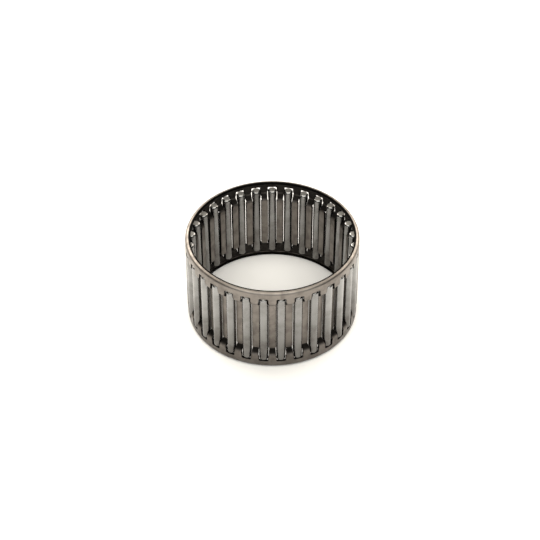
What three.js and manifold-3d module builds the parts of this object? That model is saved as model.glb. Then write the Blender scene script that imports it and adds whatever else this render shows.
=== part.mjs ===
// Radial needle roller and cage assembly: a ring of loose needle rollers held in one formed steel cage.
// There is no inner or outer ring: the needles run straight on a hardened shaft and in a hardened bore.
// Units are millimetres. +Z is the bearing's axis and the origin is the centre of its lower end face.

import * as THREE from 'three';
import { mergeVertices } from 'three/addons/utils/BufferGeometryUtils.js';
import Module from 'manifold-3d';

// Driving dimensions of the needles.
const SHAFT_DIAMETER = 42;      // raceway that the needles run on
const NEEDLE_DIAMETER = 2.5;
const NEEDLE_LENGTH = 21.8;
const NEEDLE_COUNT = 31;
const NEEDLE_EDGE = 0.25;       // chamfer round each flat end

// Driving dimensions of the cage, which is rolled from one strip of sheet steel.
const SHEET = 0.7;              // thickness of the strip
const FLANGE_REACH = 0.7;       // how far each end flange stands in from the wall's inner face
const RIM_LAND = 1.5;           // straight wall between a flange and the ends of the pockets
const TAB_LENGTH = 2.1;         // stretch of each bar, next to a rim, that stays at the outer level
const SLOPE_HEIGHT = 1.3;       // axial length of the slope between the outer and the inner level
const BEND_RADIUS = 0.5;        // outside radius of the bend from the wall into a flange

// Clearances that fit the pieces to each other.
const BORE_CLEARANCE = 0.1;     // cage's inner level to the shaft
const HOUSING_CLEARANCE = 0.1;  // cage's outer level to the housing bore
const END_PLAY = 0.6;           // pocket length beyond the needle's
const SEAT_GAP = 0.2;           // share of the end play that lies under a needle
const LIP_CLEARANCE = 0.04;     // pocket wall to needle, where the wall's edges keep the needle in
const LIP_GRIP = 0.03;          // least reach of those edges over the needle's side
const NEEDLE_CLEARANCE = 0.02;  // all round each needle, cut into any wall that comes closer
const RELIEF_CLEARANCE = 0.12;  // pocket wall to needle, where the bar crosses the pitch circle

// Sizes that follow from them.
const needleRadius = NEEDLE_DIAMETER / 2;
const shaftRadius = SHAFT_DIAMETER / 2;
const housingRadius = shaftRadius + NEEDLE_DIAMETER;
const pitchRadius = shaftRadius + needleRadius;
const pitchAngle = (2 * Math.PI) / NEEDLE_COUNT;

const rimHeight = SHEET + RIM_LAND;
const pocketLength = NEEDLE_LENGTH + END_PLAY;
const cageWidth = pocketLength + 2 * rimHeight;
const stepHeight = rimHeight + TAB_LENGTH;
const barHeight = stepHeight + SLOPE_HEIGHT;

const wallOuter = housingRadius - HOUSING_CLEARANCE;
const wallInner = wallOuter - SHEET;
const flangeInner = wallInner - FLANGE_REACH;
const barInner = shaftRadius + BORE_CLEARANCE;
const barOuter = barInner + SHEET;

// Half of a needle's width where a cylinder of the given radius round the bearing's axis cuts it:
// half of the chord that the two circles share.
function needleHalfWidthAt(radius) {
  const chordOut = (pitchRadius ** 2 + radius ** 2 - needleRadius ** 2) / (2 * pitchRadius);
  return Math.sqrt(Math.max(radius ** 2 - chordOut ** 2, 0));
}

const widestAtLips = Math.max(needleHalfWidthAt(wallInner), needleHalfWidthAt(barOuter));
const pocketHalfWidth = Math.min(widestAtLips + LIP_CLEARANCE, needleRadius - LIP_GRIP);
const reliefHalfWidth = needleRadius + RELIEF_CLEARANCE;

// Facets. Three cage facets to each pitch put one facet along the middle of every bar.
const FACETS_PER_PITCH = 3;
const NEEDLE_FACETS = 16;
const NEEDLE_SPACE_FACETS = 32;
const BEND_STEPS = 2;

// The first needle stands at +Y, so a bar lies at -Y.
const firstNeedleAngle = Math.PI / 2;
const needleAngles = Array.from({ length: NEEDLE_COUNT }, (_, i) => firstNeedleAngle + i * pitchAngle);

const wasm = await Module();
wasm.setup();

function toSolid(geometry) {
  const bare = geometry.index ? geometry.toNonIndexed() : geometry.clone();
  bare.deleteAttribute('normal');
  bare.deleteAttribute('uv');
  const merged = mergeVertices(bare, 1e-5);
  return new wasm.Manifold(new wasm.Mesh({
    numProp: 3,
    vertProperties: new Float32Array(merged.attributes.position.array),
    triVerts: new Uint32Array(merged.index.array),
  }));
}

function toGeometry(solid) {
  const mesh = solid.getMesh();
  const geometry = new THREE.BufferGeometry();
  geometry.setAttribute('position', new THREE.BufferAttribute(mesh.vertProperties, 3));
  geometry.setIndex(new THREE.BufferAttribute(mesh.triVerts, 1));
  geometry.computeVertexNormals();
  return geometry;
}

// Half of the strip's section, from the middle of the width up to the upper flange, as [radius, height]
// above the lower end face. The outer face runs upwards and the inner face comes back down.
function upperHalfSection() {
  const top = cageWidth;
  const bend = [];
  for (let i = 0; i <= BEND_STEPS; i++) {
    const turn = (i / BEND_STEPS) * (Math.PI / 2);
    bend.push([
      wallOuter - BEND_RADIUS + BEND_RADIUS * Math.cos(turn),
      top - BEND_RADIUS + BEND_RADIUS * Math.sin(turn),
    ]);
  }
  // The slope keeps the sheet's thickness, so its inner corners lie a little above its outer ones.
  const slopeAngle = Math.atan2(wallOuter - barOuter, SLOPE_HEIGHT);
  const cornerShift = SHEET * Math.tan(slopeAngle / 2);
  const outerFace = [
    [barOuter, top - barHeight],
    [wallOuter, top - stepHeight],
    ...bend,
  ];
  const innerFace = [
    [flangeInner, top],
    [flangeInner, top - SHEET],
    [wallInner, top - SHEET],
    [wallInner, top - stepHeight + cornerShift],
    [barInner, top - barHeight + cornerShift],
  ];
  return { outerFace, innerFace };
}

// The whole section is its upper half and the mirror image of it, closed into one outline.
function cageSection() {
  const { outerFace, innerFace } = upperHalfSection();
  const mirrored = (points) => points.map(([radius, height]) => [radius, cageWidth - height]).reverse();
  const outline = [...mirrored(outerFace), ...outerFace, ...innerFace, ...mirrored(innerFace)];
  outline.push(outline[0]);
  return outline.map(([radius, height]) => new THREE.Vector2(radius, height));
}

function cageRing() {
  const facets = NEEDLE_COUNT * FACETS_PER_PITCH;
  const ring = new THREE.LatheGeometry(cageSection(), facets, Math.PI);
  ring.rotateX(Math.PI / 2);
  return toSolid(ring);
}

// Outline of a pocket across the bearing and up it. It is narrow at the two tab stretches and along the
// bars, where its edges keep the needle in, and wide where the bars cross the pitch circle.
function pocketOutline() {
  const low = rimHeight;
  const wideFrom = stepHeight - SHEET;
  const wideTo = barHeight + SHEET / 4;
  const right = [
    [pocketHalfWidth, low],
    [pocketHalfWidth, wideFrom],
    [reliefHalfWidth, wideFrom],
    [reliefHalfWidth, wideTo],
    [pocketHalfWidth, wideTo],
  ];
  const rightUpper = right.map(([across, height]) => [across, cageWidth - height]).reverse();
  const rightSide = [...right, ...rightUpper];
  const leftSide = rightSide.map(([across, height]) => [-across, height]).reverse();
  const outline = [...rightSide, ...leftSide].map(([across, height]) => new THREE.Vector2(across, height));
  return new THREE.Shape(outline);
}

function pocketSlot(angle) {
  const from = barInner - SHEET;
  const depth = wallOuter + SHEET - from;
  const slot = new THREE.ExtrudeGeometry(pocketOutline(), { depth, bevelEnabled: false });
  const outward = new THREE.Vector3(Math.cos(angle), Math.sin(angle), 0);
  const up = new THREE.Vector3(0, 0, 1);
  const across = new THREE.Vector3().crossVectors(up, outward);
  const place = new THREE.Matrix4().makeBasis(across, up, outward);
  place.setPosition(outward.clone().multiplyScalar(from));
  slot.applyMatrix4(place);
  return toSolid(slot);
}

// The room that a needle turns in. It hollows the pocket's walls where they would come too close to it,
// and stops just short of the pocket's two ends.
function needleSpace(angle) {
  const radius = needleRadius + NEEDLE_CLEARANCE;
  const space = new THREE.CylinderGeometry(radius, radius, pocketLength - SEAT_GAP, NEEDLE_SPACE_FACETS);
  space.rotateX(Math.PI / 2);
  space.translate(pitchRadius * Math.cos(angle), pitchRadius * Math.sin(angle), cageWidth / 2);
  return toSolid(space);
}

function cageGeometry() {
  let cage = cageRing();
  for (const angle of needleAngles) {
    cage = cage.subtract(pocketSlot(angle)).subtract(needleSpace(angle));
  }
  return toGeometry(cage);
}

function needleGeometry() {
  const half = NEEDLE_LENGTH / 2;
  const section = [
    [0, -half],
    [needleRadius - NEEDLE_EDGE, -half],
    [needleRadius, -half + NEEDLE_EDGE],
    [needleRadius, half - NEEDLE_EDGE],
    [needleRadius - NEEDLE_EDGE, half],
    [0, half],
  ].map(([radius, height]) => new THREE.Vector2(radius, height));
  const needle = new THREE.LatheGeometry(section, NEEDLE_FACETS);
  needle.rotateX(Math.PI / 2);
  return needle;
}

function cageMaterial() {
  return new THREE.MeshStandardMaterial({ color: 0x8c857c, roughness: 0.42, metalness: 1 });
}

function needleMaterial() {
  return new THREE.MeshStandardMaterial({ color: 0xc4c2bf, roughness: 0.2, metalness: 1 });
}

const bearing = new THREE.Group();

const cage = new THREE.Mesh(cageGeometry(), cageMaterial());
cage.name = 'cage';
bearing.add(cage);

// The bearing stands on its end face, so each needle has dropped to the low end of its pocket.
const needleMiddle = rimHeight + SEAT_GAP + NEEDLE_LENGTH / 2;
needleAngles.forEach((angle, i) => {
  const needle = new THREE.Mesh(needleGeometry(), needleMaterial());
  needle.name = `needle_${String(i + 1).padStart(2, '0')}`;
  needle.position.set(pitchRadius * Math.cos(angle), pitchRadius * Math.sin(angle), needleMiddle);
  needle.rotation.z = angle;
  bearing.add(needle);
});

export default bearing;
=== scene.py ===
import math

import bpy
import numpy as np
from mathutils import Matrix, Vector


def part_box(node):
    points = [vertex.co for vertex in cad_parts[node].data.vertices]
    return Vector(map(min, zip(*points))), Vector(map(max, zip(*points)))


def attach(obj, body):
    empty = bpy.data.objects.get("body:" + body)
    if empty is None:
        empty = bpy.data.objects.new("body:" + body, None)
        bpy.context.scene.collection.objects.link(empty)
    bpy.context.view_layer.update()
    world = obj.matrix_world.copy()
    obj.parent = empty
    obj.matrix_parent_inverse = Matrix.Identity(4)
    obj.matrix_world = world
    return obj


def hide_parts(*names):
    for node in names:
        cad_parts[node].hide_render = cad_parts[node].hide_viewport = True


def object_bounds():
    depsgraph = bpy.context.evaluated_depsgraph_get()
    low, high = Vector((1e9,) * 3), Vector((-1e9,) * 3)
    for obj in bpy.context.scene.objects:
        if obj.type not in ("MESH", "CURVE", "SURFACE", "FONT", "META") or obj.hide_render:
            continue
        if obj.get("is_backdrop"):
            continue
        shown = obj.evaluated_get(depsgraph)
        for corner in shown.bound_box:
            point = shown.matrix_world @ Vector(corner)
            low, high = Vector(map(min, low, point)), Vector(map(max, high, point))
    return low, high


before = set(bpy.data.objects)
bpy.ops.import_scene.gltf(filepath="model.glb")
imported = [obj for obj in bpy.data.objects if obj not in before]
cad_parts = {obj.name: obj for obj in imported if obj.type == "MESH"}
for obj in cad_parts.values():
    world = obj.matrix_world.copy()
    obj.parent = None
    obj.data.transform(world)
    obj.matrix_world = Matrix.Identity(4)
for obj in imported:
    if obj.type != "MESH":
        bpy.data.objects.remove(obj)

# %% [markdown]
# # A needle roller and cage assembly
#
# This bearing is a ring of thin rollers, called needles, held apart by one sheet-steel cage. It has no
# inner or outer ring: the needles run straight on a hardened shaft and inside a hardened bore. Its 32
# bodies stay as they are, for the motion and for every measure, and each one gets a finished surface
# here: rounded bends, a rounded edge round every pocket, ground needle ends, and metals that show how
# they were made.
#
# Work in metal shops is done in millimetres, so the shapes are worked out in millimetres and turned into
# metres in the one place that makes a mesh.


cad_box = tuple(corner.copy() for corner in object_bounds())
print("CAD box in metres:", [round(a, 5) for a in cad_box[0]], [round(a, 5) for a in cad_box[1]])

# %% [markdown]
# ## Measures taken from the frame
#
# A drawing for this part needs few numbers: the needle's size, the circle that the needles stand on, and
# the cage's width and thickness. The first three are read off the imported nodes, so this script follows
# them if they change. The sheet's thickness and the pocket's outline can't be read off a box, so they
# are written down here with the names that a toolmaker would use.

# %% Driving measures in millimetres
MM = 0.001

needle_names = sorted(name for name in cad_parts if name.startswith("needle_"))
NEEDLES = len(needle_names)
low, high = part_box(needle_names[0])
NEEDLE_RADIUS = (high.y - low.y) / 2 / MM
NEEDLE_LENGTH = (high.z - low.z) / MM
PITCH_RADIUS = (high.y + low.y) / 2 / MM

low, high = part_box("cage")
WIDTH = (high.z - low.z) / MM
WALL_OUTER = -low.y / MM

SHEET = 0.7          # thickness of the strip that the cage is formed from
BAR_DEPTH = 1.6      # how far the middle of each bar is set in from the wall
TAB_END = 4.3        # height, from the end face, where the wall starts to slope inwards
SLOPE_END = 5.6      # height where the slope has reached the bars' inner level
FLANGE_REACH = 0.7   # how far an end flange stands in from the wall's inner face
POCKET_START = 2.2   # height of a pocket's lower end
POCKET_HALF = 1.218  # half of a pocket's width beside the needle
RELIEF_HALF = 1.37   # half of its width where the bar crosses the needle's path
RELIEF = (3.6, 5.775)  # heights between which it has that width

WALL_MID = WALL_OUTER - SHEET / 2
BAR_MID = WALL_MID - BAR_DEPTH
FLANGE_EDGE = WALL_OUTER - SHEET - FLANGE_REACH
PITCH = 2 * math.pi / NEEDLES
print(f"{NEEDLES} needles of {2 * NEEDLE_RADIUS:.2f} x {NEEDLE_LENGTH:.1f} mm "
      f"on a circle of {2 * PITCH_RADIUS:.2f} mm")
print(f"cage {WIDTH:.1f} mm wide and {2 * WALL_OUTER:.2f} mm across")

# %% [markdown]
# ## One helper that makes a mesh
#
# Blender can grow a mesh face by face, but a shape that is a formula is quicker and clearer as whole
# arrays: one array of points, one array of four-cornered faces, and a `foreach_set` for each. Numbers that
# a material wants to know, such as how far a point lies from a cut edge, go along as point attributes.

# %% From arrays to a mesh object
def mesh_object(name, points, quads, attributes):
    """Make a smooth mesh from points in mm (N, 3) and quads (F, 4). A quad whose last two corners are the
    same point is a triangle. The volume's sign, the sum of a.(b x c)/6 over the triangles, says whether
    the faces point inwards, and if they do, every face is turned over."""
    tris = quads[quads[:, 2] == quads[:, 3]][:, :3]
    fours = quads[quads[:, 2] != quads[:, 3]]
    halves = np.concatenate([tris, fours[:, [0, 1, 2]], fours[:, [0, 2, 3]]])
    a, b, c = points[halves[:, 0]], points[halves[:, 1]], points[halves[:, 2]]
    volume = np.einsum("ij,ij->i", a, np.cross(b, c)).sum() / 6
    if volume < 0:
        tris, fours = tris[:, ::-1], fours[:, ::-1]

    corners = np.concatenate([tris.ravel(), fours.ravel()]).astype(np.int32)
    sizes = np.concatenate([np.full(len(tris), 3), np.full(len(fours), 4)]).astype(np.int32)
    starts = np.concatenate([[0], np.cumsum(sizes)[:-1]]).astype(np.int32)
    mesh = bpy.data.meshes.new(name)
    mesh.vertices.add(len(points))
    mesh.vertices.foreach_set("co", (points * MM).astype(np.float32).ravel())
    mesh.loops.add(len(corners))
    mesh.loops.foreach_set("vertex_index", corners)
    mesh.polygons.add(len(sizes))
    mesh.polygons.foreach_set("loop_start", starts)
    mesh.polygons.foreach_set("use_smooth", np.ones(len(sizes), bool))
    for label, values in attributes.items():
        kind, field = ("FLOAT", "value") if values.ndim == 1 else ("FLOAT_VECTOR", "vector")
        layer = mesh.attributes.new(label, kind, "POINT")
        layer.data.foreach_set(field, values.astype(np.float32).ravel())
    mesh.update(calc_edges=True)
    if mesh.validate():
        raise RuntimeError(f"{name}: the arrays don't make a valid mesh")
    piece = bpy.data.objects.new(name, mesh)
    bpy.context.scene.collection.objects.link(piece)
    return piece, abs(volume)


# %% [markdown]
# ## The needles
#
# A needle is cut from hardened wire, tumbled, and ground between two wheels. So it is a very true
# cylinder with flat ends and a rounded edge where the tumbling wore the corner away. It could be a
# cylinder with a bevel, but a turned profile gives exact control of that edge, and lets a ring of points
# sit just beside it so the flat end and the long side both stay flat in their shading.

# %% The needle's profile, turned round its axis
NEEDLE_EDGE = 0.45   # radius of the worn corner, in mm
NEEDLE_SIDES = 40
EDGE_STEPS = 6
SIDE_RINGS = np.array([0, 0.2, 0.4, 0.6, 0.8, 0.94])  # rings up the side, as shares of half the length
END_RINGS = np.array([0.93, 0.5])  # rings on the flat end, as shares of its radius


def needle_profile():
    """Radius and height of each ring, from the lower end's rim to the upper end's. The edge is a quarter
    circle: radius R - e + e cos t, height h - e + e sin t, with t from 0 on the side to 90 degrees."""
    half = NEEDLE_LENGTH / 2
    turn = np.linspace(0, math.pi / 2, EDGE_STEPS + 1)
    edge_radius = NEEDLE_RADIUS - NEEDLE_EDGE * (1 - np.cos(turn))
    edge_height = half - NEEDLE_EDGE * (1 - np.sin(turn))
    face = NEEDLE_RADIUS - NEEDLE_EDGE
    radius = np.concatenate([np.full(len(SIDE_RINGS), NEEDLE_RADIUS), edge_radius, face * END_RINGS])
    height = np.concatenate([half * SIDE_RINGS, edge_height, np.full(len(END_RINGS), half)])
    return np.concatenate([radius[:0:-1], radius]), np.concatenate([-height[:0:-1], height])


def needle_arrays():
    """A grid of rings by sides, x = r cos a, y = r sin a, closed by one point in the middle of each end."""
    radius, height = needle_profile()
    angle = np.arange(NEEDLE_SIDES) * 2 * math.pi / NEEDLE_SIDES
    rings = np.stack([radius[:, None] * np.cos(angle), radius[:, None] * np.sin(angle),
                      np.broadcast_to(height[:, None], (len(radius), NEEDLE_SIDES))], axis=-1)
    points = np.concatenate([rings.reshape(-1, 3), [[0, 0, height[0]], [0, 0, height[-1]]]])
    index = np.arange(len(radius) * NEEDLE_SIDES).reshape(len(radius), NEEDLE_SIDES)
    right = np.roll(index, -1, axis=1)
    sides = np.stack([index[:-1], right[:-1], right[1:], index[1:]], axis=-1).reshape(-1, 4)
    bottom, top = len(points) - 2, len(points) - 1
    caps = [np.stack([edge, ring, np.full(NEEDLE_SIDES, pole), np.full(NEEDLE_SIDES, pole)], axis=-1)
            for ring, edge, pole in ((index[0], right[0], bottom), (right[-1], index[-1], top))]
    return points, np.concatenate([sides, *caps])


needle_points, needle_quads = needle_arrays()
on_end_face = (np.abs(needle_points[:, 2]) > NEEDLE_LENGTH / 2 - 0.01).astype(float)
print(f"one needle: {len(needle_points)} points, {len(needle_quads)} faces")

# %% [markdown]
# Every needle is the same shape, but no two came off the grinder alike. Each gets its own `batch` number,
# which its material uses to shift the pattern and the tone a little, and a `turned` attribute that holds
# the place measured from the needle's own axis, so the grinding marks run round each needle and not round
# the bearing. `end_face` is 1 on the two flat ends, which are cut and tumbled but never ground. One more
# attribute is painted shade that darkens the needle towards its lower end: none at the top, most at the
# lower end.

# %% How much painted shade darkens the lower end
SHADE_AT_FOOT = 0.9    # the most painted shade, at the lower end
SHADE_REACH = 0.75     # share of the length over which it fades to none


def smooth_step(x):
    """0 below 0, 1 above 1, and 3x^2 - 2x^3 between."""
    x = np.clip(x, 0, 1)
    return x * x * (3 - 2 * x)


# Painted shade: the nearer a point is to the lower end, the darker it is painted.
def lower_end_shade(height, length):
    """Most at the lower end, falling as 1 - 3x^2 + 2x^3, where x is height / length / reach."""
    return SHADE_AT_FOOT * (1 - smooth_step(height / length / SHADE_REACH))


# Painted shade at four heights along the length.
print("oil at 0, 1/4, 1/2 and 3/4 of the length:", lower_end_shade(np.array([0, 0.25, 0.5, 0.75]), 1).round(2))

# %% Thirty-one needles at their places
PATTERN_SHIFT = 40   # mm by which the pattern may slide along one needle against another

spread = np.random.default_rng(31)
needle_pieces = []
for name in needle_names:
    low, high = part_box(name)
    centre = np.array([low.x + high.x, low.y + high.y, low.z + high.z]) / 2 / MM
    centre[:2] *= PITCH_RADIUS / np.hypot(*centre[:2])
    batch = spread.random()
    turned = needle_points + [0, 0, PATTERN_SHIFT * batch]
    # The last attribute is painted shade, darker towards the needle's lower end.
    piece, volume = mesh_object(f"ground_{name}", needle_points + centre, needle_quads, {
        "turned": turned, "end_face": on_end_face, "batch": np.full(len(needle_points), batch),
        "lower_end_shade": lower_end_shade(needle_points[:, 2] + NEEDLE_LENGTH / 2, NEEDLE_LENGTH)})
    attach(piece, name)
    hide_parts(name)
    needle_pieces.append(piece)
print(f"{len(needle_pieces)} needles, each {volume:.1f} cubic mm")

# %% [markdown]
# ## The cage
#
# The cage starts as a flat strip. A press punches the pockets, a roll bends the strip so the middle of each
# bar steps inwards and the two edges turn over into flanges, and the strip is then curled into a ring.
# It could be cut from a solid with booleans, but they leave a mesh that bends and rounds badly. So it is
# made the way the real one is: a flat pattern of rows and columns with a hole for each pocket, laid on
# a bent path, once for the outer face and once for the inner one. Rings of points round each
# hole then join the two faces with a rounded edge.

# %% The bent path of the strip, seen in section
SLOPE_BEND = 0.8     # radius of the sheet's middle where it starts and ends the slope
FLANGE_BEND = 0.42   # radius of its middle where it turns over into a flange
FLANGE_LEAN = math.radians(13)  # how far short of square the flange springs back
BEND_STEPS = 6


def bent_path():
    """Half of the strip's section, from the middle of the width to a flange's free edge, as three arrays:
    path length, radius and height over the middle, with a fourth for the direction of the outward normal.
    Each corner of the path is an arc that leaves both straights where they are tangent to it, at
    radius x tan(half the turn) from the corner."""
    half = WIDTH / 2
    slope = math.atan2(BAR_DEPTH, SLOPE_END - TAB_END)
    shift = SHEET / 2 * math.tan(slope / 2)
    reach = WALL_MID - FLANGE_EDGE
    edge_height = half - SHEET / 2 * math.cos(FLANGE_LEAN)
    corner_height = edge_height - reach * math.tan(FLANGE_LEAN)
    corners = np.array([[BAR_MID, half - SLOPE_END + shift], [WALL_MID, half - TAB_END + shift],
                        [WALL_MID, corner_height]])
    turns = [-slope, slope, math.pi / 2 - FLANGE_LEAN]
    bends = [SLOPE_BEND, SLOPE_BEND, FLANGE_BEND]
    places, headings = [np.array([[BAR_MID, 0.0]])], [np.zeros(1)]
    heading = 0.0
    for corner, turn, bend in zip(corners, turns, bends):
        along = np.array([-math.sin(heading), math.cos(heading)])
        side = np.array([-math.cos(heading), -math.sin(heading)]) * np.sign(turn)
        start = corner - along * bend * math.tan(abs(turn) / 2)
        sweep = np.linspace(0, abs(turn), BEND_STEPS + 1)[:, None]
        places.append(start + bend * (np.sin(sweep) * along + (1 - np.cos(sweep)) * side))
        headings.append(heading + np.sign(turn) * sweep[:, 0])
        heading += turn
    places.append(np.array([[FLANGE_EDGE, edge_height]]))
    headings.append(np.array([heading]))
    place, facing = np.concatenate(places), np.concatenate(headings)
    length = np.concatenate([[0], np.cumsum(np.hypot(*np.diff(place, axis=0).T))])
    return length, place[:, 0], place[:, 1], facing


path_length, path_radius, path_height, path_facing = bent_path()
STRIP_HALF = path_length[-1]
print(f"the flat strip is {2 * STRIP_HALF:.2f} mm wide before it is bent")


def on_sheet(across, along, lift, tangential):
    """Points of the bent and curled sheet. `along` is the path length from the middle of the width,
    `lift` the height over the sheet's middle. The radius is that of the path plus lift x normal. Where
    `tangential` is true `across` is a straight distance from the pocket's middle plane, as a punch cuts
    it, so the angle is asin(across / radius). Elsewhere `across` is the angle itself."""
    side = np.sign(along)
    facing = np.interp(np.abs(along), path_length, path_facing)
    radius = np.interp(np.abs(along), path_length, path_radius) + lift * np.cos(facing)
    height = side * (np.interp(np.abs(along), path_length, path_height) + lift * np.sin(facing))
    angle = np.arcsin(across / radius) if tangential else across
    return radius, angle, height + WIDTH / 2


# %% [markdown]
# The pocket's outline is narrow where its edges keep the needle in and wider at the two slopes, where the
# bar crosses the circle of the needles' middles. Its four corners are rounded, as a punch's are. Only one
# quarter is worked out. The rest is its mirror image.

# %% The outline of a quarter of a pocket
CORNER_RADIUS = 0.28
EDGE_ROUND = 0.07    # radius of the rounded edge round each pocket
FREE_ROUND = 0.26    # the flanges' free edges are tumbled rounder than the pockets'
RELIEF_BLEND = 0.5   # length over which the pocket widens or narrows
BLEND_MARGIN = 0.55  # the next point stays this far from the middle of a blend


def path_at(height_from_end):
    """Path length at which the strip's middle has this height over the nearer end face."""
    return np.interp(WIDTH / 2 - height_from_end, path_height, path_length)


def quarter_outline():
    """(across, along, normal across, normal along) of the outline from the middle of the width to the
    pocket's end. The corner is an arc: across = w - r + r cos t, along = end - r + r sin t."""
    end = path_at(POCKET_START)
    wide_from, wide_to = path_at(RELIEF[1]), path_at(RELIEF[0])
    straight = np.concatenate([
        [0, 1.5, 3.0, 4.5, 6.0, wide_from - 0.8],
        np.linspace(wide_from - RELIEF_BLEND / 2, wide_from + RELIEF_BLEND / 2, 6),
        np.linspace(wide_from + BLEND_MARGIN, wide_to - BLEND_MARGIN, 7),
        np.linspace(wide_to - RELIEF_BLEND / 2, wide_to + RELIEF_BLEND / 2, 6),
        [wide_to + BLEND_MARGIN, end - CORNER_RADIUS - 0.15]])

    def half_width(s):
        rise = smooth_step((s - wide_from) / RELIEF_BLEND + 0.5)
        fall = smooth_step((s - wide_to) / RELIEF_BLEND + 0.5)
        return POCKET_HALF + (RELIEF_HALF - POCKET_HALF) * (rise - fall)

    slope = (half_width(straight + 1e-4) - half_width(straight - 1e-4)) / 2e-4
    size = np.hypot(1, slope)
    turn = np.linspace(0, math.pi / 2, 6)
    across = np.concatenate([half_width(straight), POCKET_HALF - CORNER_RADIUS * (1 - np.cos(turn))])
    along = np.concatenate([straight, end - CORNER_RADIUS * (1 - np.sin(turn))])
    normal_across = np.concatenate([1 / size, np.cos(turn)])
    normal_along = np.concatenate([-slope / size, np.sin(turn)])
    return across, along, normal_across, normal_along


quarter = quarter_outline()
half_side = [np.concatenate([sign * values[:0:-1], values])
             for sign, values in zip((1, -1, 1, -1), quarter)]
side_across, side_along, side_na, side_ns = half_side
print(f"a pocket's side has {len(side_along)} points, "
      f"{2 * side_across.min():.2f} to {2 * side_across.max():.2f} mm wide")

# %% [markdown]
# Now the pattern of rows and columns. A row is a line round the cage at one path length; a column runs up
# the cage. One pitch has half a bar, the pocket, and half a bar. Columns stand close together beside a
# pocket, so that its rounded edge doesn't spread its shading over the bar.

# %% The grid for one face of the sheet
BAR_WEIGHTS = np.array([0, 0.1, 0.32, 0.66])  # columns over half a bar, close together at the pocket
POCKET_CELLS = 6

rim_start = side_along[-1] + EDGE_ROUND
flange_bend = path_length[-2 - BEND_STEPS:-1]
rim_rows = np.concatenate([[rim_start + 0.1], flange_bend[flange_bend > rim_start + 0.15],
                           STRIP_HALF - FREE_ROUND - np.array([0.25, 0.12, 0])])
pocket_rows = side_along + EDGE_ROUND * side_ns
rows = np.concatenate([-rim_rows[::-1], pocket_rows, rim_rows])
first, last = len(rim_rows), len(rim_rows) + len(pocket_rows) - 1
first_needle = math.pi / 2
pitch_starts = first_needle + (np.arange(NEEDLES) - 0.5) * PITCH


def grid_angles(lift):
    """Angle of each column at each row, (rows, columns), for one face of the sheet. A bar column lies at
    edge + w (half pitch - edge), where edge is the angle of the pocket's rounded edge at that row."""
    ring = side_across + EDGE_ROUND * side_na
    radius, edge, _ = on_sheet(ring, pocket_rows, lift, True)
    edge = np.concatenate([np.full(first, edge[0]), edge, np.full(len(rim_rows), edge[-1])])[:, None]
    bar = edge + BAR_WEIGHTS * (PITCH / 2 - edge)
    pocket = edge * np.linspace(-1, 1, POCKET_CELLS + 1)[1:-1]
    one = np.concatenate([np.full((len(rows), 1), -PITCH / 2), -bar[:, ::-1], pocket, bar], axis=1)
    return (pitch_starts[:, None] + PITCH / 2 + one[:, None, :]).reshape(len(rows), -1), one.shape[1]


def place(radius, angle, height):
    """Points at (radius cos angle, radius sin angle, height)."""
    radius, angle, height = np.broadcast_arrays(radius, angle, height)
    return np.stack([radius * np.cos(angle), radius * np.sin(angle), height], axis=-1)


def face_grid(lift):
    """One face of the sheet as (rows, columns, 3) points."""
    angles, per_pitch = grid_angles(lift)
    radius, _, height = on_sheet(0, rows[:, None], lift, False)
    return place(radius, angles, height), per_pitch


outer_face, per_pitch = face_grid(SHEET / 2)
inner_face, _ = face_grid(-SHEET / 2)
columns = outer_face.shape[1]
print(f"{len(rows)} rows by {columns} columns on each face")

# %% [markdown]
# Faces fill the grid except inside the pockets. What is left open is the loop round each pocket and the two
# free edges of the flanges. Each is closed by rings of points that follow a quarter circle down from the
# outer face, cross the sheet, and come up round the other quarter circle to the inner face.

# %% The faces of the two grids
index = np.arange(len(rows) * columns).reshape(len(rows), columns)
left_edge = len(BAR_WEIGHTS)
right_edge = left_edge + POCKET_CELLS
cell = np.arange(columns) % per_pitch
in_pocket = (cell >= left_edge) & (cell < right_edge)
row_in_pocket = (np.arange(len(rows) - 1) >= first) & (np.arange(len(rows) - 1) < last)
solid_cell = ~(row_in_pocket[:, None] & in_pocket[None, :])
beside = np.roll(index, -1, axis=1)
outer_quads = np.stack([index[:-1], beside[:-1], beside[1:], index[1:]], axis=-1)[solid_cell]
inner_quads = outer_quads[:, ::-1] + index.size

# %% The rings that round the pockets' edges
ROUND_STEPS = 2


def edge_profile(size, steps):
    """(inset, lift) of the rings between the two faces: inset = e (1 - sin t), lift = h - e (1 - cos t)
    for t from 0 to 90 degrees on the outer side, then the same mirrored. The first and last are the
    faces' own points and are left out."""
    turn = np.linspace(0, math.pi / 2, steps + 1)[1:]
    inset = size * (1 - np.sin(turn))
    lift = SHEET / 2 - size * (1 - np.cos(turn))
    return np.concatenate([inset, inset[::-1]]), np.concatenate([lift, -lift[::-1]])


profile_inset, profile_lift = edge_profile(EDGE_ROUND, ROUND_STEPS)
free_inset, free_lift = edge_profile(FREE_ROUND, 2 * ROUND_STEPS)
ends = np.linspace(-1, 1, POCKET_CELLS + 1)[1:-1]
end_across = side_across[-1] * ends
loop_across = np.concatenate([side_across, end_across[::-1], -side_across[::-1], end_across])
loop_along = np.concatenate([side_along, np.full(len(ends), side_along[-1]),
                             side_along[::-1], np.full(len(ends), side_along[0])])
loop_na = np.concatenate([side_na, 0 * ends, -side_na[::-1], 0 * ends])
loop_ns = np.concatenate([side_ns, 0 * ends + 1, side_ns[::-1], 0 * ends - 1])
loop_rows = np.concatenate([np.arange(first, last + 1), np.full(len(ends), last),
                            np.arange(last, first - 1, -1), np.full(len(ends), first)])
loop_columns = np.concatenate([np.full(len(side_along), right_edge), right_edge - 1 - np.arange(len(ends)),
                               np.full(len(side_along), left_edge), left_edge + 1 + np.arange(len(ends))])


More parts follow.
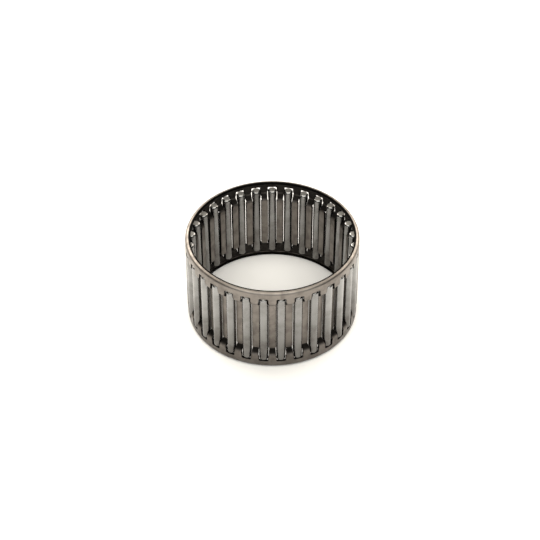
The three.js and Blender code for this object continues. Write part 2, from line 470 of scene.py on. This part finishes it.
def pocket_rings():
    """Points (needles, rings, loop, 3) round every pocket, the outline moved out along its normal by the
    ring's inset."""
    across = loop_across + profile_inset[:, None] * loop_na
    along = loop_along + profile_inset[:, None] * loop_ns
    radius, angle, height = on_sheet(across, along, profile_lift[:, None], True)
    return place(radius, first_needle + np.arange(NEEDLES)[:, None, None] * PITCH + angle, height)


def flange_rings(side):
    """Points (rings, columns, 3) round one flange's free edge."""
    radius, _, height = on_sheet(0, side * (STRIP_HALF - free_inset[:, None]), free_lift[:, None], False)
    angles, _ = grid_angles(0)
    return place(radius, angles[0 if side < 0 else -1], height)


def band(lines):
    """Quads between each line of point numbers and the next, each line closed on itself: (lines, n)."""
    step = np.roll(lines, -1, axis=1)
    return np.stack([lines[:-1], step[:-1], step[1:], lines[1:]], axis=-1).reshape(-1, 4)


# %% Everything joined into the cage
rings = pocket_rings()
lower_rim, upper_rim = flange_rings(-1), flange_rings(1)
parts = [outer_face, inner_face, rings, lower_rim, upper_rim]
offsets = np.concatenate([[0], np.cumsum([part.size // 3 for part in parts])])
cage_points = np.concatenate([part.reshape(-1, 3) for part in parts])

ring_numbers = np.arange(rings.size // 3).reshape(rings.shape[:3]) + offsets[2]
pocket_loop = loop_rows * columns + (np.arange(NEEDLES)[:, None] * per_pitch + loop_columns) % columns
pocket_bands = [band(np.concatenate([[pocket_loop[i]], ring_numbers[i], [pocket_loop[i] + index.size]]))
                for i in range(NEEDLES)]


def rim_band(row, rim, offset, flip):
    """The quads round a flange's free edge, from the outer face's last row to the inner face's."""
    numbers = np.arange(rim.size // 3).reshape(rim.shape[:2]) + offset
    quads = band(np.concatenate([[index[row]], numbers, [index[row] + index.size]]))
    return quads[:, ::-1] if flip else quads


cage_quads = np.concatenate([outer_quads, inner_quads, *pocket_bands,
                             rim_band(0, lower_rim, offsets[3], True),
                             rim_band(-1, upper_rim, offsets[4], False)])
used, renumbered = np.unique(cage_quads, return_inverse=True)
cage_quads = renumbered.reshape(cage_quads.shape)
print(f"the cage has {len(used)} points and {len(cage_quads)} faces")

# %% [markdown]
# Five attributes tell the material where it is on the sheet. `rolled` unrolls the sheet, so the lines that
# the rolling mill left run round the cage and over its bends without a seam. `edge` is 1 on a rounded edge
# and fades on the flat beside it. `cut` is 1 on the walls that the punch sheared. The fourth is painted
# shade: 1 on the slopes and nearly so on the inner side of the walls. The fifth is the painted shade
# towards the lower end again, as on the needles.

# %% What the material will want to know
BESIDE_FREE_EDGE = 0.75  # `edge` on the flat next to a flange's free edge
BESIDE_POCKET = 0.5      # and on the flat next to a pocket

edge_grid = np.zeros(outer_face.shape[:2])
edge_grid[[0, 1, -2, -1]] = BESIDE_FREE_EDGE
ring_columns = np.isin(cell, [left_edge, right_edge])
edge_grid[first:last + 1, ring_columns] = BESIDE_POCKET
edge_grid[[first, last]] = np.maximum(edge_grid[[first, last]],
                                      BESIDE_POCKET * (in_pocket | ring_columns))
along_grid = np.broadcast_to(rows[:, None], outer_face.shape[:2])


def over(values, like):
    """Spread one value per ring over every point of an array of rings."""
    shape = [1] * (like.ndim - 1)
    shape[-2] = len(values)
    return np.broadcast_to(values.reshape(shape), like.shape[:-1]).ravel()


on_round = 1 - np.abs(2 * profile_inset / EDGE_ROUND - 0.6)
on_free_round = np.ones(len(free_inset))
on_cut = (profile_inset < 1e-9).astype(float)
edge_value = np.concatenate([edge_grid.ravel(), edge_grid.ravel(), over(on_round, rings),
                             over(on_free_round, lower_rim), over(on_free_round, upper_rim)])
cut_value = np.concatenate([np.zeros(2 * index.size), over(on_cut, rings),
                            np.zeros(lower_rim.size // 3 * 2)])
along_value = np.concatenate([along_grid.ravel(), along_grid.ravel(),
                              np.broadcast_to(loop_along, rings.shape[:3]).ravel(),
                              np.full(lower_rim.size // 3, -STRIP_HALF),
                              np.full(upper_rim.size // 3, STRIP_HALF)])
radial = np.hypot(cage_points[:, 0], cage_points[:, 1])
rolled = np.stack([cage_points[:, 0] / radial * WALL_MID, cage_points[:, 1] / radial * WALL_MID,
                   along_value], axis=-1)

# Painted shade on the slopes and on the inner side of the walls.
away = np.abs(along_value)
past_slope_end = smooth_step((away - path_at(SLOPE_END)) / 0.4 + 0.3)
before_wall = smooth_step((path_at(TAB_END) - away) / 0.4 + 0.3)
on_slope = past_slope_end * before_wall
# Painted shade: the wall's inner side is painted dark from just inside the slope to just short of the
# flange.
under_wall = (away > path_at(TAB_END + 0.5)) & (away < path_at(1.1 * SHEET)) & (radial < WALL_MID)
recess_shade = np.maximum(on_slope, 0.8 * under_wall)

# The recess and lower-end attributes carry painted shade.
cage, volume = mesh_object("formed_cage", cage_points[used], cage_quads, {
    "rolled": rolled[used], "edge": np.clip(edge_value, 0, 1)[used], "cut": cut_value[used],
    "recess_shade": recess_shade[used], "lower_end_shade": lower_end_shade(cage_points[used, 2], WIDTH)})
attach(cage, "cage")
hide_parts("cage")
print(f"the cage holds {volume:.0f} cubic mm of steel")

# %% [markdown]
# ## Finishes shared by both metals
#
# Two effects turn up on more than one material, so each is a node group with named inputs. `Fine lines` is
# the mark that rolling or grinding leaves: noise squeezed hard in one direction. `Blotches` is what oil,
# heat and handling leave: slow, uneven patches. Both put out plain values, and each material decides what
# to do with them.

# %% Node groups
def node(tree, kind, **settings):
    """Add a node. Settings name its properties, or its input sockets with their values."""
    made = tree.nodes.new(kind)
    for label, value in settings.items():
        if hasattr(made, label):
            setattr(made, label, value)
        else:
            made.inputs[label.replace("_", " ").capitalize()].default_value = value
    return made


def new_group(name, inputs, outputs):
    """A shader node group with float or vector inputs and float outputs."""
    group = bpy.data.node_groups.new(name, "ShaderNodeTree")
    for label, kind, default in inputs:
        socket = group.interface.new_socket(name=label, in_out="INPUT", socket_type=f"NodeSocket{kind}")
        if default is not None:
            socket.default_value = default
    for label in outputs:
        group.interface.new_socket(name=label, in_out="OUTPUT", socket_type="NodeSocketFloat")
    return group, group.nodes.new("NodeGroupInput"), group.nodes.new("NodeGroupOutput")


def fine_lines_group():
    """Noise stretched along the working direction, at two sizes added together, from 0 to 1."""
    group, given, result = new_group("Fine lines", [
        ("Vector", "Vector", None), ("Across", "Float", 6.0), ("Along", "Float", 0.1)], ["Lines"])
    link = group.links.new
    squeeze = group.nodes.new("ShaderNodeCombineXYZ")
    for axis, source in zip("XYZ", ("Along", "Along", "Across")):
        link(given.outputs[source], squeeze.inputs[axis])
    stretched = node(group, "ShaderNodeVectorMath", operation="MULTIPLY")
    link(given.outputs["Vector"], stretched.inputs[0])
    link(squeeze.outputs["Vector"], stretched.inputs[1])
    coarse = node(group, "ShaderNodeTexNoise", scale=1.0, detail=3.0, roughness=0.65)
    fine = node(group, "ShaderNodeTexNoise", scale=3.7, detail=2.0, roughness=0.6)
    both = node(group, "ShaderNodeMath", operation="MULTIPLY_ADD")
    half = node(group, "ShaderNodeMath", operation="MULTIPLY")
    half.inputs[1].default_value = 0.4
    both.inputs[1].default_value = 0.6
    link(stretched.outputs["Vector"], coarse.inputs["Vector"])
    link(stretched.outputs["Vector"], fine.inputs["Vector"])
    link(fine.outputs["Fac"], half.inputs[0])
    link(coarse.outputs["Fac"], both.inputs[0])
    link(half.outputs["Value"], both.inputs[2])
    link(both.outputs["Value"], result.inputs["Lines"])
    return group


def blotches_group():
    """Slow noise pushed towards 0 or 1 by a smooth ramp between two limits."""
    group, given, result = new_group("Blotches", [
        ("Vector", "Vector", None), ("Size", "Float", 0.3), ("From", "Float", 0.4), ("To", "Float", 0.65)],
        ["Mask"])
    link = group.links.new
    noise = node(group, "ShaderNodeTexNoise", detail=5.0, roughness=0.6, distortion=0.4)
    ramp = node(group, "ShaderNodeMapRange", interpolation_type="SMOOTHSTEP")
    link(given.outputs["Vector"], noise.inputs["Vector"])
    link(given.outputs["Size"], noise.inputs["Scale"])
    link(noise.outputs["Fac"], ramp.inputs["Value"])
    link(given.outputs["From"], ramp.inputs["From Min"])
    link(given.outputs["To"], ramp.inputs["From Max"])
    link(ramp.outputs["Result"], result.inputs["Mask"])
    return group


FINE_LINES = fine_lines_group()
BLOTCHES = blotches_group()


class Finish:
    """A material with a Principled BSDF, and short calls for the nodes that feed it."""

    def __init__(self, name, **constants):
        self.material = bpy.data.materials.new(name)
        self.material.use_nodes = True
        self.tree = self.material.node_tree
        self.shader = self.tree.nodes["Principled BSDF"]
        for label, value in constants.items():
            self.shader.inputs[label.replace("_", " ")].default_value = value

    def attribute(self, name, output="Vector"):
        """A point attribute of the mesh: a vector, or with "Fac" a plain value."""
        made = self.tree.nodes.new("ShaderNodeAttribute")
        made.attribute_name = name
        return made.outputs[output]

    def group(self, tree, vector, **values):
        """The first output of a node group that is given a place on the surface and its own values."""
        made = self.tree.nodes.new("ShaderNodeGroup")
        made.node_tree = tree
        self.tree.links.new(vector, made.inputs["Vector"])
        for label, value in values.items():
            made.inputs[label].default_value = value
        return made.outputs[0]

    def math(self, operation, a, b, clamp=False):
        """a and b joined by one operation. Each may be a number or another node's output."""
        made = node(self.tree, "ShaderNodeMath", operation=operation, use_clamp=clamp)
        for socket, value in zip(made.inputs, (a, b)):
            if isinstance(value, (int, float)):
                socket.default_value = value
            else:
                self.tree.links.new(value, socket)
        return made.outputs["Value"]

    def mix(self, factor, a, b):
        """A colour between a and b. Either may be a colour or the output of another node."""
        made = node(self.tree, "ShaderNodeMix", data_type="RGBA")
        self.tree.links.new(factor, made.inputs["Factor"])
        for socket, value in ((made.inputs[6], a), (made.inputs[7], b)):
            if isinstance(value, tuple):
                socket.default_value = (*value, 1)
            else:
                self.tree.links.new(value, socket)
        return made.outputs[2]

    def bump(self, height, distance, strength):
        """Tilt the surface's normal by the slope of height x distance, in metres."""
        made = self.tree.nodes.new("ShaderNodeBump")
        made.inputs["Strength"].default_value = strength
        made.inputs["Distance"].default_value = distance
        self.tree.links.new(height, made.inputs["Height"])
        self.tree.links.new(made.outputs["Normal"], self.shader.inputs["Normal"])

    def feed(self, **outputs):
        """Link outputs to the shader's inputs of those names."""
        for label, output in outputs.items():
            self.tree.links.new(output, self.shader.inputs[label.replace("_", " ")])


# %% [markdown]
# ## The cage's steel
#
# The cage is case-hardened strip. The furnace and the quench leave it a warm grey-brown, darker in patches,
# and painted shade darkens it towards the lower end. The recesses, the walls that the punch sheared and
# the rounded edges are painted near black and made rougher, as painted shade, which draws a dark line round
# every needle. Under it all run the lines of the rolling mill. The colours are mixed in that order: bare
# tone, stain with painted shade, painted black shade.

# %% Cage finish
def cage_finish():
    steel = Finish("hardened_strip", Metallic=1.0)
    rolled_at = steel.attribute("rolled")
    lines = steel.group(FINE_LINES, rolled_at, Across=7.0, Along=0.25)
    patches = steel.group(BLOTCHES, rolled_at, Size=0.35, From=0.38, To=0.68)
    specks = steel.group(BLOTCHES, rolled_at, Size=2.6, From=0.52, To=0.72)
    edge = steel.attribute("edge", "Fac")
    cut = steel.attribute("cut", "Fac")
    recess_shade = steel.attribute("recess_shade", "Fac")

    tone = steel.mix(lines, (0.185, 0.166, 0.148), (0.270, 0.246, 0.222))
    # Painted shade towards the lower end, added to the real oil patches, darkens the tone.
    foot_shade = steel.math("MULTIPLY", steel.attribute("lower_end_shade", "Fac"), 0.8)
    oil_and_shade = steel.math("ADD", foot_shade, steel.math("MULTIPLY", patches, 0.5), True)
    stained_and_shaded = steel.mix(oil_and_shade, tone, (0.110, 0.098, 0.087))
    # Painted shade: near black, and rougher, on rounded edges, cut walls and recesses.
    edge_shade_strength = steel.math("ADD", 1.3, steel.math("MULTIPLY", specks, 0.7))
    edge_shade = steel.math("MULTIPLY", edge, edge_shade_strength, True)
    deep = steel.math("MULTIPLY", recess_shade, 0.95)
    painted_black_shade = steel.math("MAXIMUM", deep, steel.math("MAXIMUM", edge_shade, cut))
    steel.feed(Base_Color=steel.mix(painted_black_shade, stained_and_shaded, (0.006, 0.0055, 0.005)))

    rough = steel.math("ADD", 0.28, steel.math("MULTIPLY", lines, 0.14))
    rough = steel.math("ADD", rough, steel.math("MULTIPLY", patches, 0.10))
    steel.feed(Roughness=steel.math("ADD", rough, steel.math("MULTIPLY", painted_black_shade, 0.35), True))
    height = steel.math("ADD", lines, steel.math("MULTIPLY", specks, 0.3))
    steel.bump(height, distance=0.000012, strength=0.6)
    return steel.material


cage.data.materials.append(cage_finish())

# %% [markdown]
# ## The needles' steel
#
# The needles are through-hardened bearing steel, ground and then honed, so they are greyer, smoother and a
# little lighter than the cage. The marks left run round them. The `turned` attribute is measured from each
# needle's own axis, which makes those marks go round, and `batch` shifts the tone so that neighbours differ
# a little. Over that lies a film of oil in patches, and painted shade darkens each needle towards its lower
# end. The flat ends were never ground, so they are a rougher metal of their own, with a painted highlight in
# their lighter base colour.

# %% Needle finish
def needle_finish():
    steel = Finish("ground_steel", Metallic=1.0)
    turned_at = steel.attribute("turned")
    lines = steel.group(FINE_LINES, turned_at, Across=5.0, Along=0.35)
    film = steel.group(BLOTCHES, turned_at, Size=0.17, From=0.40, To=0.66)
    batch = steel.attribute("batch", "Fac")

    tone = steel.mix(batch, (0.285, 0.284, 0.278), (0.365, 0.364, 0.358))
    ground = steel.mix(steel.math("MULTIPLY", lines, 0.35), tone, (0.250, 0.247, 0.240))
    # Painted shade towards the lower end, added to the real patches of oil film, darkens the tone.
    foot_shade = steel.math("MULTIPLY", steel.attribute("lower_end_shade", "Fac"), 0.8)
    oil_and_shade = steel.math("ADD", foot_shade, steel.math("MULTIPLY", film, 0.45), True)
    filmed_and_shaded = steel.mix(oil_and_shade, ground, (0.130, 0.123, 0.115))
    end_face = steel.attribute("end_face", "Fac")
    # Painted highlight: the flat ends get a lighter base colour than the ground sides, as well as being
    # rougher.
    steel.feed(Base_Color=steel.mix(end_face, filmed_and_shaded, (0.42, 0.41, 0.39)))

    rough = steel.math("ADD", 0.13, steel.math("MULTIPLY", lines, 0.10))
    rough = steel.math("ADD", rough, steel.math("MULTIPLY", film, 0.09))
    steel.feed(Roughness=steel.math("ADD", rough, steel.math("MULTIPLY", end_face, 0.6)))
    steel.bump(lines, distance=0.000004, strength=0.5)
    return steel.material


ground_steel = needle_finish()
for piece in needle_pieces:
    piece.data.materials.append(ground_steel)

# %% [markdown]
# ## The table, the lights and the camera
#
# Bright metal shows only what stands round it, so the light is a few large soft panels and a white table.
# The brightest panels stand behind the bearing and to its sides. One overhead leans to the camera's side
# and lights the near faces, and a dim, cool one stands for the rest of the room. The flat table would show
# a hard edge if it ended in view, so it is far wider than the bearing. Rough paint keeps it free of
# reflections.

# %% White table
TABLE_HALF = 2.0     # half of the table's width, in metres


def table_top():
    """A flat square at the height of the lower end face."""
    mesh = bpy.data.meshes.new("table")
    corners = TABLE_HALF * np.array([[-1, -1, 0], [1, -1, 0], [1, 1, 0], [-1, 1, 0]], float)
    mesh.from_pydata(corners.tolist(), [], [[0, 1, 2, 3]])
    top = bpy.data.objects.new("table", mesh)
    bpy.context.scene.collection.objects.link(top)
    top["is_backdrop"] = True
    return top


paint = Finish("table_paint", Roughness=0.8)
paint.shader.inputs["Base Color"].default_value = (0.90, 0.90, 0.90, 1)
table_top().data.materials.append(paint.material)


# %% Soft panels and the room
PANEL_DISTANCE = 0.9  # metres from the bearing to each panel


def panel(name, azimuth, elevation, width, height, brightness, colour):
    """A soft panel that faces the bearing. Azimuth 0 is the camera's side, 90 is the right, and 180 is
    behind the bearing. A lamp of area A and brightness L gives off pi A L watts, tinted by its colour.
    Sizes are in metres and angles in degrees."""
    lamp = bpy.data.lights.new(name, "AREA")
    lamp.shape, lamp.size, lamp.size_y = "RECTANGLE", width, height
    lamp.energy, lamp.color = math.pi * width * height * brightness, colour
    around, up = math.radians(azimuth), math.radians(elevation)
    panel_object = bpy.data.objects.new(name, lamp)
    panel_object.location = (PANEL_DISTANCE * math.sin(around) * math.cos(up),
                             -PANEL_DISTANCE * math.cos(around) * math.cos(up),
                             PANEL_DISTANCE * math.sin(up))
    panel_object.rotation_euler = (-panel_object.location).to_track_quat("-Z", "Y").to_euler()
    bpy.context.scene.collection.objects.link(panel_object)


panel("back_window", 184, 41, 1.2, 0.36, 3.6, (1.0, 0.97, 0.93))
panel("ceiling", 0, 70, 1.2, 1.1, 2.8, (1.0, 0.96, 0.87))
panel("left_window", 222, 34, 0.7, 0.6, 4.8, (1.0, 0.91, 0.80))
panel("right_wall", 138, 34, 0.7, 0.6, 4.2, (1.0, 0.91, 0.80))
panel("room_side", 0, 30, 1.6, 0.7, 0.8, (0.93, 0.97, 1.0))

world = bpy.data.worlds.new("room")
world.use_nodes = True
background = world.node_tree.nodes["Background"]
background.inputs["Color"].default_value = (0.92, 0.95, 1.0, 1)
background.inputs["Strength"].default_value = 0.07
bpy.context.scene.world = world
bpy.context.scene.view_settings.view_transform = "Standard"

# %% Camera
CAMERA_RISE = 42.1       # degrees above the table
CAMERA_DISTANCE = 0.42   # metres to the point it looks at
CAMERA_SIDE = -0.000625  # metres to the right of the bearing's axis
CAMERA_LENS = 102.5
LOOK_ABOVE_MIDDLE = 0.5  # mm over half the cage's width


def set_camera():
    """A long lens that looks at a point a little left of the bearing's axis, just over half way up it."""
    data = bpy.data.cameras.new("camera")
    data.lens = CAMERA_LENS
    data.clip_start, data.clip_end = 0.01, 20
    camera = bpy.data.objects.new("camera", data)
    rise = math.radians(CAMERA_RISE)
    target_height = (WIDTH / 2 + LOOK_ABOVE_MIDDLE) * MM
    camera.location = (CAMERA_SIDE, -CAMERA_DISTANCE * math.cos(rise),
                       target_height + CAMERA_DISTANCE * math.sin(rise))
    camera.rotation_euler = (math.pi / 2 - rise, 0, 0)
    bpy.context.scene.collection.objects.link(camera)
    bpy.context.scene.camera = camera


set_camera()
